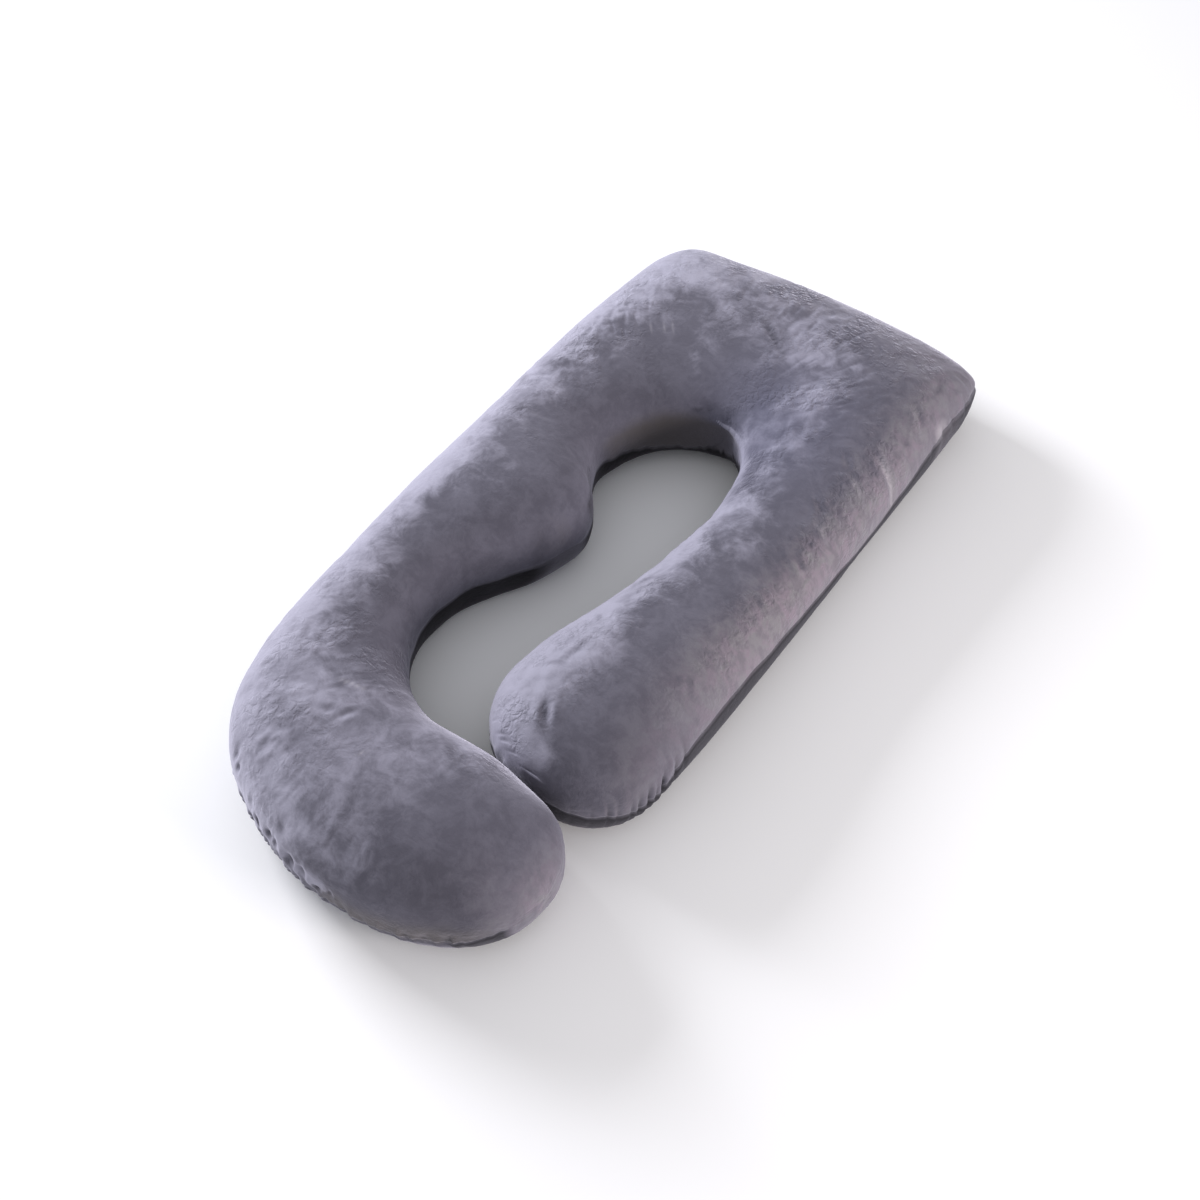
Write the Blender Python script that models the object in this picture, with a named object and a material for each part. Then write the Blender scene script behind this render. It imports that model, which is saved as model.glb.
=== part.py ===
"""A hooked, U-shaped body pillow: one filled solid, sewn from an upper and a lower panel.

The pillow lies on the floor. X runs across it, +Y towards its closed head end and +Z up. A rib is a cut
across the filling, from its inner side, which faces the gap between the arms, to its outer side. The ribs
run from the end of the straight arm, round the head, and down to the end of the hooked arm. The filling is
widest at waist height, and the seam that joins the panels goes once round it, a little above or below the
waist. Units are metres.
"""

import math
from collections import namedtuple

import bpy
import numpy as np

# Driving sizes.
WAIST = 0.085  # height of the widest place in every section
UPPER_STEPS = 16  # steps of a section over the upper panel, from seam to seam
LOWER_STEPS = 12  # steps of a section back under the lower panel
LOWER_FULLNESS = 3.2  # exponent of a section below the waist: 2 is an ellipse, more is boxier
FLOOR_PRESS = 0.012  # how far the filling would reach below the floor if nothing held it up
SEAM_PULL = 0.003  # how far the stitching draws the seam in
SEAM_REACH = 0.006  # how far from the seam the pull of the stitching is felt
GATHER_REACH = 0.055  # how far a gather runs from the seam along the section
GATHER_SPREAD = 0.5  # share of their depth by which the gathers of a row differ
GATHER_WAVE = 3.7  # gathers from one deep gather to the next deep one

# inner_x to outer_y place the widest line on the two sides. crown is the height of the top, inner_seam and
# outer_seam are the heights of the seam, inner_full and outer_full are the exponents of the two halves of the
# section above the waist, and steps is the number of sections up to the next rib.
Rib = namedtuple(
    "Rib",
    "place inner_x inner_y outer_x outer_y crown inner_seam outer_seam inner_full outer_full steps",
)
RIBS = (
    Rib("straight arm, bulb", 0.026, -0.290, 0.339, -0.300, 0.200, 0.080, 0.062, 2.3, 2.3, 4),
    Rib("straight arm, bulb", 0.038, -0.215, 0.343, -0.215, 0.200, 0.080, 0.100, 2.3, 2.3, 3),
    Rib("straight arm", 0.062, -0.128, 0.345, -0.128, 0.192, 0.080, 0.100, 2.3, 2.3, 3),
    Rib("straight arm", 0.085, -0.030, 0.345, -0.030, 0.182, 0.080, 0.095, 2.3, 2.3, 3),
    Rib("straight arm", 0.101, 0.070, 0.345, 0.070, 0.175, 0.080, 0.085, 2.3, 2.3, 3),
    Rib("straight arm", 0.111, 0.170, 0.345, 0.170, 0.175, 0.080, 0.075, 2.3, 2.3, 3),
    Rib("straight arm, top", 0.104, 0.238, 0.345, 0.300, 0.180, 0.090, 0.065, 2.3, 2.3, 3),
    Rib("neck curve", 0.094, 0.290, 0.345, 0.450, 0.187, 0.090, 0.076, 2.5, 2.3, 5),
    Rib("neck curve", 0.073, 0.323, 0.347, 0.600, 0.193, 0.095, 0.108, 2.9, 2.2, 5),
    Rib("head, near corner", 0.053, 0.340, 0.344, 0.697, 0.194, 0.105, 0.098, 3.2, 1.9, 4),
    Rib("head, near corner", 0.040, 0.347, 0.318, 0.748, 0.193, 0.110, 0.090, 3.3, 1.7, 4),
    Rib("head", 0.023, 0.349, 0.220, 0.757, 0.193, 0.110, 0.085, 3.1, 2.1, 4),
    Rib("head", 0.002, 0.344, 0.090, 0.759, 0.193, 0.110, 0.085, 3.0, 2.2, 4),
    Rib("head", -0.019, 0.337, -0.050, 0.752, 0.193, 0.110, 0.085, 3.0, 2.3, 4),
    Rib("head", -0.041, 0.325, -0.180, 0.738, 0.192, 0.110, 0.085, 3.1, 2.3, 4),
    Rib("head, far corner", -0.062, 0.309, -0.284, 0.723, 0.190, 0.105, 0.085, 3.2, 2.2, 4),
    Rib("head, far corner", -0.082, 0.290, -0.328, 0.662, 0.188, 0.100, 0.085, 3.1, 2.2, 5),
    Rib("hooked arm, top", -0.102, 0.264, -0.343, 0.545, 0.186, 0.090, 0.085, 2.8, 2.3, 4),
    Rib("hooked arm, top", -0.119, 0.226, -0.353, 0.405, 0.185, 0.085, 0.085, 2.5, 2.3, 3),
    Rib("hooked arm", -0.128, 0.175, -0.355, 0.265, 0.182, 0.080, 0.085, 2.3, 2.3, 3),
    Rib("hooked arm", -0.106, 0.120, -0.355, 0.150, 0.185, 0.080, 0.085, 2.3, 2.3, 3),
    Rib("hooked arm, bump", -0.067, 0.070, -0.355, 0.060, 0.195, 0.080, 0.085, 2.3, 2.3, 3),
    Rib("hooked arm, bump", -0.051, 0.012, -0.355, -0.020, 0.200, 0.080, 0.085, 2.3, 2.3, 3),
    Rib("hooked arm, bump", -0.072, -0.055, -0.355, -0.110, 0.195, 0.080, 0.085, 2.3, 2.3, 3),
    Rib("hooked arm", -0.114, -0.125, -0.353, -0.190, 0.185, 0.080, 0.085, 2.3, 2.3, 3),
    Rib("hooked arm", -0.151, -0.195, -0.348, -0.270, 0.180, 0.080, 0.085, 2.3, 2.3, 4),
    Rib("hook curve", -0.160, -0.275, -0.343, -0.380, 0.180, 0.080, 0.085, 2.3, 2.3, 6),
    Rib("hook curve", -0.144, -0.335, -0.330, -0.491, 0.185, 0.080, 0.085, 2.3, 2.3, 7),
    Rib("hook curve", -0.110, -0.385, -0.296, -0.597, 0.192, 0.080, 0.085, 2.3, 2.3, 8),
    Rib("hook curve", -0.070, -0.417, -0.237, -0.670, 0.200, 0.080, 0.085, 2.3, 2.3, 12),
    Rib("hook", -0.012, -0.439, -0.141, -0.724, 0.205, 0.080, 0.085, 2.3, 2.3, 17),
    Rib("hook", 0.045, -0.439, -0.030, -0.755, 0.208, 0.080, 0.080, 2.3, 2.3, 14),
    Rib("hook, bulb", 0.100, -0.435, 0.075, -0.756, 0.208, 0.080, 0.070, 2.3, 2.3, 1),
)

# The rounded end beyond the first and the last rib. length runs out from the rib's middle, roundness is the
# outline's exponent, fullness is the exponent of the top's fall to the tip, drift moves the tip towards the
# outer side, and steps is the number of sections.
Tip = namedtuple("Tip", "length roundness fullness drift steps")
STRAIGHT_TIP = Tip(0.146, 2.25, 2.3, -0.002, 20)
HOOKED_TIP = Tip(0.218, 2.15, 2.3, -0.018, 22)

# The end of the straight arm lies against the hook, and both are pressed flat along an upright plane through
# x and y. slope is the plane's run in y for each metre in x, gap is what stays open between the two, and
# softness rounds the start of the flat. The last two columns say how many sections of each arm feel it.
Contact = namedtuple("Contact", "x y slope gap softness straight_sections hooked_sections")
CONTACT = Contact(0.150, -0.4385, -0.26, 0.006, 0.002, 32, 40)

# Rows of gathers in the seam. start and stop are distances from that arm's tip along the seam on that side,
# pitch runs from one gather to the next, and depth is how far the deepest one is drawn in.
Gathers = namedtuple("Gathers", "arm side start stop pitch depth")
GATHERS = (
    Gathers("straight", "outer", 0.000, 0.230, 0.036, 0.006),
    Gathers("straight", "inner", 0.000, 0.150, 0.036, 0.004),
    Gathers("hooked", "outer", 0.355, 0.575, 0.036, 0.015),
    Gathers("hooked", "outer", 0.575, 0.800, 0.040, 0.006),
)

COVER_COLOUR = (0.190, 0.180, 0.225, 1.0)
COVER_ROUGHNESS = 0.85


def smooth_rows(rows, steps):
    """Rows between the given ones, on a Catmull-Rom curve through them."""
    padded = np.vstack([2 * rows[0] - rows[1], rows, 2 * rows[-1] - rows[-2]])
    made = []
    for i in range(len(rows) - 1):
        a, b, c, d = padded[i : i + 4]
        for k in range(steps[i]):
            u = k / steps[i]
            made.append(
                b
                + 0.5 * u * (c - a)
                + u * u * (a - 2.5 * b + 2 * c - 0.5 * d)
                + u**3 * (-0.5 * a + 1.5 * b - 1.5 * c + 0.5 * d)
            )
    made.append(rows[-1])
    return np.array(made)


def rise(out, fullness):
    """Height of a superellipse of unit size at a distance from its middle."""
    return (1 - out**fullness) ** (1 / fullness)


def tip_rows(rib, outward, tip):
    """Sections that shrink to the tip of an arm, from the widest on, and the point they end in."""
    inner, outer = rib[0:2], rib[2:4]
    middle, across = (inner + outer) / 2, (outer - inner) / 2
    reach = outward * tip.length + across / np.linalg.norm(across) * tip.drift
    made = []
    for k in range(1, tip.steps):
        turn = math.pi / 2 * k / tip.steps
        wide = math.cos(turn) ** (2 / tip.roundness)
        out = math.sin(turn) ** (2 / tip.roundness)
        swell = rise(out, tip.fullness)
        centre = middle + reach * out
        heights = WAIST + (rib[4:7] - WAIST) * swell
        depth = rib[9] * rise(out, LOWER_FULLNESS)
        made.append([*(centre - across * wide), *(centre + across * wide), *heights, *rib[7:9], depth])
    return np.array(made), np.array([*(middle + reach), WAIST])


def all_rows():
    """A row of numbers for every section, and the points where the seam turns back at the arms' tips.

    A row holds the numbers of a rib from inner_x to outer_full, and then its depth below the waist.
    """
    depth = WAIST + FLOOR_PRESS
    table = np.array([[*rib[1:10], depth] for rib in RIBS])
    body = smooth_rows(table, [rib.steps for rib in RIBS])
    down, right = np.array([0.0, -1.0]), np.array([1.0, 0.0])
    first, first_point = tip_rows(body[0], down, STRAIGHT_TIP)
    last, last_point = tip_rows(body[-1], right, HOOKED_TIP)
    return np.vstack([first[::-1], body, last]), first_point, last_point


def seam_turn(seam, crown, depth, fullness):
    """The turn at which a section passes the height of its seam, counted from the waist."""
    if seam >= WAIST:
        return math.asin(((seam - WAIST) / (crown - WAIST)) ** (fullness / 2))
    return -math.asin(((WAIST - seam) / depth) ** (LOWER_FULLNESS / 2))


def turns(start, stop, steps):
    """Turns from one seam to the other, closer together near both."""
    even = np.linspace(0, 1, steps + 1)
    eased = (1 - np.cos(math.pi * even)) / 2
    return start + (stop - start) * (even + eased) / 2


def section(row):
    """One closed section, from the inner seam over the top to the outer seam and back underneath."""
    inner, outer = row[0:2], row[2:4]
    crown, inner_seam, outer_seam, inner_full, outer_full, depth = row[4:10]
    start = seam_turn(inner_seam, crown, depth, inner_full)
    stop = math.pi - seam_turn(outer_seam, crown, depth, outer_full)
    over = turns(start, stop, UPPER_STEPS)
    under = turns(stop, start + 2 * math.pi, LOWER_STEPS)
    points = []
    for turn in [*over, *under[1:-1]]:
        above = math.sin(turn) >= 0
        upper_full = inner_full if math.cos(turn) >= 0 else outer_full
        power = 2 / (upper_full if above else LOWER_FULLNESS)
        side = math.copysign(abs(math.cos(turn)) ** power, math.cos(turn))
        share = abs(math.sin(turn)) ** power
        height = WAIST + (crown - WAIST) * share if above else max(0.0, WAIST - depth * share)
        place = (inner + outer) / 2 + (inner - outer) / 2 * side
        points.append([*place, height])
    return np.array(points)


def draw_in(sections, rows, side, amounts, reach):
    """Moves the points near one side's seam towards the middle of their section."""
    middle = (rows[:, 0:2] + rows[:, 2:4]) / 2
    centre = np.column_stack([middle, np.full(len(rows), WAIST)])[:, None, :]
    seam_index = 0 if side == "inner" else UPPER_STEPS
    seam = sections[:, seam_index : seam_index + 1, :]
    distance = np.linalg.norm(sections - seam, axis=2)
    fade = np.clip(1 - distance / reach, 0, 1) ** 2
    inward = centre - sections
    inward /= np.linalg.norm(inward, axis=2, keepdims=True)
    inward[:, :, 2] *= sections[:, :, 2] > 0  # what lies on the floor stays on it
    return sections + inward * (fade * amounts[:, None])[:, :, None]


def press_together(sections):
    """Flattens the end of the straight arm and the hook where they lie against each other."""
    towards_hook = np.array([CONTACT.slope, -1.0]) / math.hypot(CONTACT.slope, 1.0)
    ends = ((slice(0, CONTACT.straight_sections), -1), (slice(-CONTACT.hooked_sections, None), 1))
    for part, side in ends:
        clear = side * (sections[part, :, :2] - [CONTACT.x, CONTACT.y]) @ towards_hook
        over = (clear - CONTACT.gap / 2) / CONTACT.softness
        moved = CONTACT.gap / 2 + CONTACT.softness * np.logaddexp(0, over) - clear
        sections[part, :, :2] += side * moved[:, :, None] * towards_hook
    return sections


def gather_amounts(rows, first_point, last_point, zone):
    """How far each section's seam is drawn in by one row of gathers."""
    line = rows[:, 0:2] if zone.side == "inner" else rows[:, 2:4]
    if zone.arm == "hooked":
        line = np.vstack([last_point[:2], line[::-1]])
    else:
        line = np.vstack([first_point[:2], line])
    along = np.cumsum(np.linalg.norm(np.diff(line, axis=0), axis=1))
    if zone.arm == "hooked":
        along = along[::-1]
    inside = np.clip((along - zone.start) / zone.pitch, 0, 1) * np.clip((zone.stop - along) / zone.pitch, 0, 1)
    gather = 2 * math.pi * along / zone.pitch
    uneven = 1 - GATHER_SPREAD * (1 + np.cos(gather / GATHER_WAVE)) / 2
    return zone.depth * inside * uneven * (1 - np.cos(gather)) / 2


def pillow_mesh():
    """Points and faces of the filled pillow."""
    rows, first_point, last_point = all_rows()
    sections = np.array([section(row) for row in rows])
    for side in ("inner", "outer"):
        sections = draw_in(sections, rows, side, np.full(len(rows), SEAM_PULL), SEAM_REACH)
    for zone in GATHERS:
        amounts = gather_amounts(rows, first_point, last_point, zone)
        sections = draw_in(sections, rows, zone.side, amounts, GATHER_REACH)
    sections = press_together(sections)
    count, ring = sections.shape[:2]
    points = np.vstack([sections.reshape(-1, 3), first_point, last_point])
    faces = []
    for i in range(count - 1):
        for k in range(ring):
            a, b = i * ring + k, i * ring + (k + 1) % ring
            faces.append((a, b, b + ring, a + ring))
    last = (count - 1) * ring
    for k in range(ring):
        faces.append((k, count * ring, (k + 1) % ring))
        faces.append((last + k, last + (k + 1) % ring, count * ring + 1))
    low, high = points.min(axis=0), points.max(axis=0)
    points -= np.array([(low[0] + high[0]) / 2, (low[1] + high[1]) / 2, low[2]])
    return points, faces


def cover_material():
    material = bpy.data.materials.new("velvet cover")
    material.use_nodes = True
    shader = material.node_tree.nodes["Principled BSDF"]
    shader.inputs["Base Color"].default_value = COVER_COLOUR
    shader.inputs["Roughness"].default_value = COVER_ROUGHNESS
    shader.inputs["Metallic"].default_value = 0.0
    return material


def clear_scene():
    for obj in list(bpy.data.objects):
        bpy.data.objects.remove(obj)


def main():
    clear_scene()
    points, faces = pillow_mesh()
    mesh = bpy.data.meshes.new("pillow")
    mesh.from_pydata(points.tolist(), [], faces)
    mesh.shade_smooth()
    mesh.materials.append(cover_material())
    pillow = bpy.data.objects.new("pillow", mesh)
    bpy.context.scene.collection.objects.link(pillow)


main()
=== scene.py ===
# Hooked body pillow in grey-mauve velvet, lying flat on a pale floor.
import math

import bpy
import numpy as np
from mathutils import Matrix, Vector


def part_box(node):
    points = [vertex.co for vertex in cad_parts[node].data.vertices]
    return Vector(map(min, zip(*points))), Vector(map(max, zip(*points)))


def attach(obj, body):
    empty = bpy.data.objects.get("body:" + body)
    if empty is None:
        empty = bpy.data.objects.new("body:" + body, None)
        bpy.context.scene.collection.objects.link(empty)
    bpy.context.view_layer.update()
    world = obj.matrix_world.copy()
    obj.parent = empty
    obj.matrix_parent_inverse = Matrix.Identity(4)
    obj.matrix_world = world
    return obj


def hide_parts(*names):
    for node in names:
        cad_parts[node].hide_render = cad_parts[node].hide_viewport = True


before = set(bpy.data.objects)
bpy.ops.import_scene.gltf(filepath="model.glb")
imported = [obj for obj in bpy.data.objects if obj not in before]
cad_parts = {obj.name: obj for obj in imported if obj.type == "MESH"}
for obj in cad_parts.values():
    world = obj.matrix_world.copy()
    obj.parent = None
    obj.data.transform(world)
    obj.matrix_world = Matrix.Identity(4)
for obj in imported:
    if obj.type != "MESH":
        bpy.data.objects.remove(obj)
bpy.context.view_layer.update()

print("packed pillow loaded")

scene = bpy.context.scene

# the form of the pillow, as ribs across the filling
pillow = {
    "waist": 0.085,  # height of the widest line
    "underFullness": 3.2,  # above 2 is boxier than an ellipse
    "floorPress": 0.012,  # how far the filling would sink below the floor
    "stepsPerRib": 60,  # sections between two ribs, before they are spaced out evenly
    "drawnOver": 400,  # points a section is drawn with, before they are spaced out
    "drawnUnder": 300,
    "rows": 941,  # sections along the pillow, an odd number
    "topSteps": 80,  # points over the upper panel, an even number
    "underSteps": 26,  # points back under the lower panel, an even number
    "seamWander": 0.003,  # how far the seam strays up and down
    "seamWaves": [(29, 1), (47, 2), (83, 5)],  # how often, and how differently on the two sides
    "seamLength": 3.6,  # metres of seam that these waves run over
    "seamBias": 0.55,  # 0 spaces the points evenly, 1 packs them at the seams
    # where the sections lie closer together: arm, side, from, to, how much closer
    "closer": [("straight", "outer", 0.02, 0.27, 1.3), ("hooked", "outer", 0.33, 0.6, 0.6)],
    "closerEase": 0.01,  # how softly that begins and ends
    # inner x, inner y, outer x, outer y, crown, inner seam, outer seam, inner fullness, outer fullness
    "ribs": [
        (0.026, -0.290, 0.339, -0.300, 0.200, 0.080, 0.062, 2.3, 2.3),  # straight arm, bulb
        (0.038, -0.215, 0.343, -0.215, 0.200, 0.080, 0.100, 2.3, 2.3),
        (0.062, -0.128, 0.345, -0.128, 0.192, 0.080, 0.100, 2.3, 2.3),
        (0.085, -0.030, 0.345, -0.030, 0.182, 0.080, 0.095, 2.3, 2.3),
        (0.101, 0.070, 0.345, 0.070, 0.175, 0.080, 0.085, 2.3, 2.3),
        (0.111, 0.170, 0.345, 0.170, 0.175, 0.080, 0.075, 2.3, 2.3),
        (0.104, 0.238, 0.345, 0.300, 0.180, 0.090, 0.065, 2.3, 2.3),
        (0.094, 0.290, 0.345, 0.450, 0.187, 0.090, 0.076, 2.5, 2.3),  # round the neck
        (0.073, 0.323, 0.347, 0.600, 0.193, 0.095, 0.108, 2.9, 2.2),
        (0.053, 0.340, 0.344, 0.697, 0.194, 0.105, 0.098, 3.2, 1.9),  # head, near corner
        (0.040, 0.347, 0.318, 0.748, 0.193, 0.110, 0.090, 3.3, 1.7),
        (0.023, 0.349, 0.220, 0.757, 0.193, 0.090, 0.085, 3.1, 2.1),
        (0.002, 0.344, 0.090, 0.759, 0.193, 0.062, 0.085, 3.0, 2.2),
        (-0.019, 0.337, -0.050, 0.752, 0.193, 0.050, 0.085, 3.0, 2.3),
        (-0.041, 0.325, -0.180, 0.738, 0.192, 0.048, 0.085, 3.1, 2.3),
        (-0.062, 0.309, -0.284, 0.723, 0.190, 0.050, 0.085, 3.2, 2.2),  # head, far corner
        (-0.082, 0.290, -0.328, 0.662, 0.188, 0.055, 0.085, 3.1, 2.2),
        (-0.102, 0.264, -0.343, 0.545, 0.186, 0.062, 0.085, 2.8, 2.3),
        (-0.119, 0.226, -0.353, 0.405, 0.185, 0.070, 0.085, 2.5, 2.3),
        (-0.128, 0.175, -0.355, 0.265, 0.182, 0.080, 0.085, 2.3, 2.3),  # hooked arm
        (-0.106, 0.120, -0.355, 0.150, 0.185, 0.080, 0.085, 2.3, 2.3),
        (-0.067, 0.070, -0.355, 0.060, 0.195, 0.080, 0.085, 2.3, 2.3),  # bump
        (-0.051, 0.012, -0.355, -0.020, 0.200, 0.080, 0.085, 2.3, 2.3),
        (-0.072, -0.055, -0.355, -0.110, 0.195, 0.080, 0.085, 2.3, 2.3),
        (-0.114, -0.125, -0.353, -0.190, 0.185, 0.080, 0.085, 2.3, 2.3),
        (-0.151, -0.195, -0.348, -0.270, 0.180, 0.080, 0.080, 2.3, 2.3),
        (-0.160, -0.275, -0.343, -0.380, 0.180, 0.080, 0.072, 2.3, 2.3),  # hook
        (-0.144, -0.335, -0.330, -0.491, 0.185, 0.080, 0.072, 2.3, 2.3),
        (-0.110, -0.385, -0.296, -0.597, 0.192, 0.080, 0.068, 2.3, 2.3),
        (-0.070, -0.417, -0.237, -0.670, 0.200, 0.080, 0.064, 2.3, 2.3),
        (-0.012, -0.439, -0.141, -0.724, 0.205, 0.080, 0.056, 2.3, 2.3),
        (0.045, -0.439, -0.030, -0.755, 0.208, 0.080, 0.050, 2.3, 2.3),
        (0.100, -0.435, 0.075, -0.756, 0.208, 0.080, 0.050, 2.3, 2.3),
    ],
    "straightTip": {"length": 0.146, "roundness": 2.25, "fullness": 2.3, "drift": -0.002, "steps": 140},
    "hookTip": {"length": 0.218, "roundness": 2.15, "fullness": 2.3, "drift": -0.018, "steps": 180},
    # upright plane where the straight arm's end lies against the hook, and how far up the arms it is felt
    "touch": {"x": 0.15, "y": -0.4395, "slope": -0.26, "gap": 0.002, "softness": 0.003,
              "below": -0.25, "hookFrom": -0.1},
}


def curveThrough(ribs, steps):
    # Catmull-Rom between the ribs
    padded = np.vstack([2 * ribs[0] - ribs[1], ribs, 2 * ribs[-1] - ribs[-2]])
    u = np.linspace(0, 1, steps, endpoint=False)[:, None]
    spans = []
    for a, b, c, d in zip(padded, padded[1:], padded[2:], padded[3:]):
        bend = u * u * (a - 2.5 * b + 2 * c - 0.5 * d) + u**3 * (-0.5 * a + 1.5 * b - 1.5 * c + 0.5 * d)
        spans.append(b + 0.5 * u * (c - a) + bend)
    return np.vstack(spans + [ribs[-1:]])


def roundedTip(rib, outward, tip):
    # ribs that shrink to the end of an arm, and the point they close in
    inner, outer = rib[0:2], rib[2:4]
    middle, across = (inner + outer) / 2, (outer - inner) / 2
    reach = outward * tip["length"] + across / np.linalg.norm(across) * tip["drift"]
    turn = math.pi / 2 * np.arange(1, tip["steps"])[:, None] / tip["steps"]
    wide = np.cos(turn) ** (2 / tip["roundness"])
    out = np.sin(turn) ** (2 / tip["roundness"])
    swell = (1 - out ** tip["fullness"]) ** (1 / tip["fullness"])
    depth = rib[9] * (1 - out ** pillow["underFullness"]) ** (1 / pillow["underFullness"])
    centre = middle + reach * out
    heights = pillow["waist"] + (rib[4:7] - pillow["waist"]) * swell
    fullness = np.repeat(rib[None, 7:9], len(turn), axis=0)
    return np.hstack([centre - across * wide, centre + across * wide, heights, fullness, depth]), middle + reach


def seamDistances(rows, ends):
    # how far each section is along the seam from the end of either arm, on either side
    found = {}
    for side, columns in (("inner", slice(0, 2)), ("outer", slice(2, 4))):
        line = rows[:, columns]
        fromStart = np.vstack([ends[0, :2], line])
        fromEnd = np.vstack([ends[1, :2], line[::-1]])
        found["straight", side] = np.cumsum(np.linalg.norm(np.diff(fromStart, axis=0), axis=1))
        found["hooked", side] = np.cumsum(np.linalg.norm(np.diff(fromEnd, axis=0), axis=1))[::-1]
    return found


def pillowSections():
    # evenly spaced sections from one arm's end to the other's
    ribs = np.array([list(rib) + [pillow["waist"] + pillow["floorPress"]] for rib in pillow["ribs"]])
    body = curveThrough(ribs, pillow["stepsPerRib"])
    start, startPoint = roundedTip(body[0], np.array([0.0, -1.0]), pillow["straightTip"])
    end, endPoint = roundedTip(body[-1], np.array([1.0, 0.0]), pillow["hookTip"])
    rows = np.vstack([start[::-1], body, end])
    step = np.diff(rows, axis=0)
    longer = np.maximum(np.hypot(step[:, 0], step[:, 1]), np.hypot(step[:, 2], step[:, 3]))
    seamAlong = seamDistances(rows, np.array([startPoint, endPoint]))
    ease = pillow["closerEase"]
    for arm, side, first, last, closer in pillow["closer"]:
        place = (seamAlong[arm, side][1:] + seamAlong[arm, side][:-1]) / 2
        begun, ended = 1 + np.exp(-(place - first) / ease), 1 + np.exp((place - last) / ease)
        longer = longer * (1 + closer / begun / ended)
    along = np.concatenate([[0], np.cumsum(longer)])
    wanted = np.linspace(0, along[-1], pillow["rows"])
    rows = np.column_stack([np.interp(wanted, along, column) for column in rows.T])
    metres = wanted / wanted[-1] * pillow["seamLength"]
    for column, turn in ((5, 0.0), (6, 2.0)):
        waves = sum(np.sin(metres * often + late * turn) for often, late in pillow["seamWaves"])
        rows[:, column] += pillow["seamWander"] * waves / 2
    return rows, startPoint, endPoint


def seamTurn(seam, crown, depth, fullness):
    # where a section passes the height of its seam, as a turn from the waist
    if seam >= pillow["waist"]:
        return math.asin(((seam - pillow["waist"]) / (crown - pillow["waist"])) ** (fullness / 2))
    return -math.asin(((pillow["waist"] - seam) / depth) ** (pillow["underFullness"] / 2))


def sectionOutline(row, turns):
    inner, outer = row[0:2], row[2:4]
    crown, innerFull, outerFull, depth = row[4], row[7], row[8], row[9]
    above = np.sin(turns) >= 0
    full = np.where(above, np.where(np.cos(turns) >= 0, innerFull, outerFull), pillow["underFullness"])
    side = np.sign(np.cos(turns)) * np.abs(np.cos(turns)) ** (2 / full)
    share = np.abs(np.sin(turns)) ** (2 / full)
    waist = pillow["waist"]
    height = np.where(above, waist + (crown - waist) * share, np.maximum(0, waist - depth * share))
    place = (inner + outer) / 2 + (inner - outer) / 2 * side[:, None]
    return np.column_stack([place, height])


def spaceOut(outline, steps):
    # the same line in even steps that get shorter near both seams, and each point's distance along it
    along = np.concatenate([[0], np.cumsum(np.linalg.norm(np.diff(outline, axis=0), axis=1))])
    even = np.linspace(0, 1, steps + 1)
    eased = (1 - np.cos(math.pi * even)) / 2
    wanted = along[-1] * (even + (eased - even) * pillow["seamBias"])
    return np.column_stack([np.interp(wanted, along, column) for column in outline.T]), wanted


def pillowGrid():
    # grid[section, point round it] from the inner seam over the top and back underneath
    rows, startPoint, endPoint = pillowSections()
    rings, toInner, toOuter = [], [], []
    for row in rows:
        start = seamTurn(row[5], row[4], row[9], row[7])
        stop = math.pi - seamTurn(row[6], row[4], row[9], row[8])
        overTurns = np.linspace(start, stop, pillow["drawnOver"])
        underTurns = np.linspace(stop, start + 2 * math.pi, pillow["drawnUnder"])
        over, overAlong = spaceOut(sectionOutline(row, overTurns), pillow["topSteps"])
        under, underAlong = spaceOut(sectionOutline(row, underTurns), pillow["underSteps"])
        rings.append(np.vstack([over, under[1:-1]]))
        toInner.append(np.concatenate([overAlong, underAlong[-1] - underAlong[1:-1]]))
        toOuter.append(np.concatenate([overAlong[-1] - overAlong, underAlong[1:-1]]))
    grid = np.array(rings)
    waist = pillow["waist"]
    ends = np.array([[*startPoint, waist], [*endPoint, waist]])
    return rows, grid, ends, np.array(toInner), np.array(toOuter)


rows, grid, ends, toInner, toOuter = pillowGrid()
along = seamDistances(rows, ends)
ringCount = grid.shape[1]
isTop = np.zeros(grid.shape[:2], bool)
isTop[:, : pillow["topSteps"] + 1] = True
print("pillow form:", grid.shape[0], "sections of", ringCount, "points")

# patches of small random wrinkles: x, y, reach x, reach y, direction and how far it varies,
# how many, length, width, depth, seed
ruffles = [
    (-0.26, 0.38, 0.07, 0.24, 20, 25, 46, 0.05, 0.0055, 0.0011, 21),
    (0.16, 0.46, 0.12, 0.14, 0, 180, 90, 0.028, 0.007, 0.0013, 22),
    (0.05, 0.62, 0.22, 0.1, 0, 180, 60, 0.03, 0.007, 0.0012, 23),
    (-0.2, -0.5, 0.12, 0.16, 0, 180, 70, 0.028, 0.0065, 0.0013, 24),
    (0.3, 0.25, 0.04, 0.35, -15, 25, 40, 0.045, 0.0055, 0.001, 25),
    (0.12, 0.12, 0.05, 0.28, 15, 30, 40, 0.035, 0.0055, 0.001, 26),
    (0.1, -0.3, 0.06, 0.14, 75, 35, 24, 0.04, 0.0055, 0.0011, 27),
]
# how the single ones differ: how far they stray, shares of length, width and depth
ruffleVary = {"stray": 0.6, "length": (0.5, 1.4), "width": (0.8, 1.5), "depth": (-0.7, 1.0)}

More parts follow.
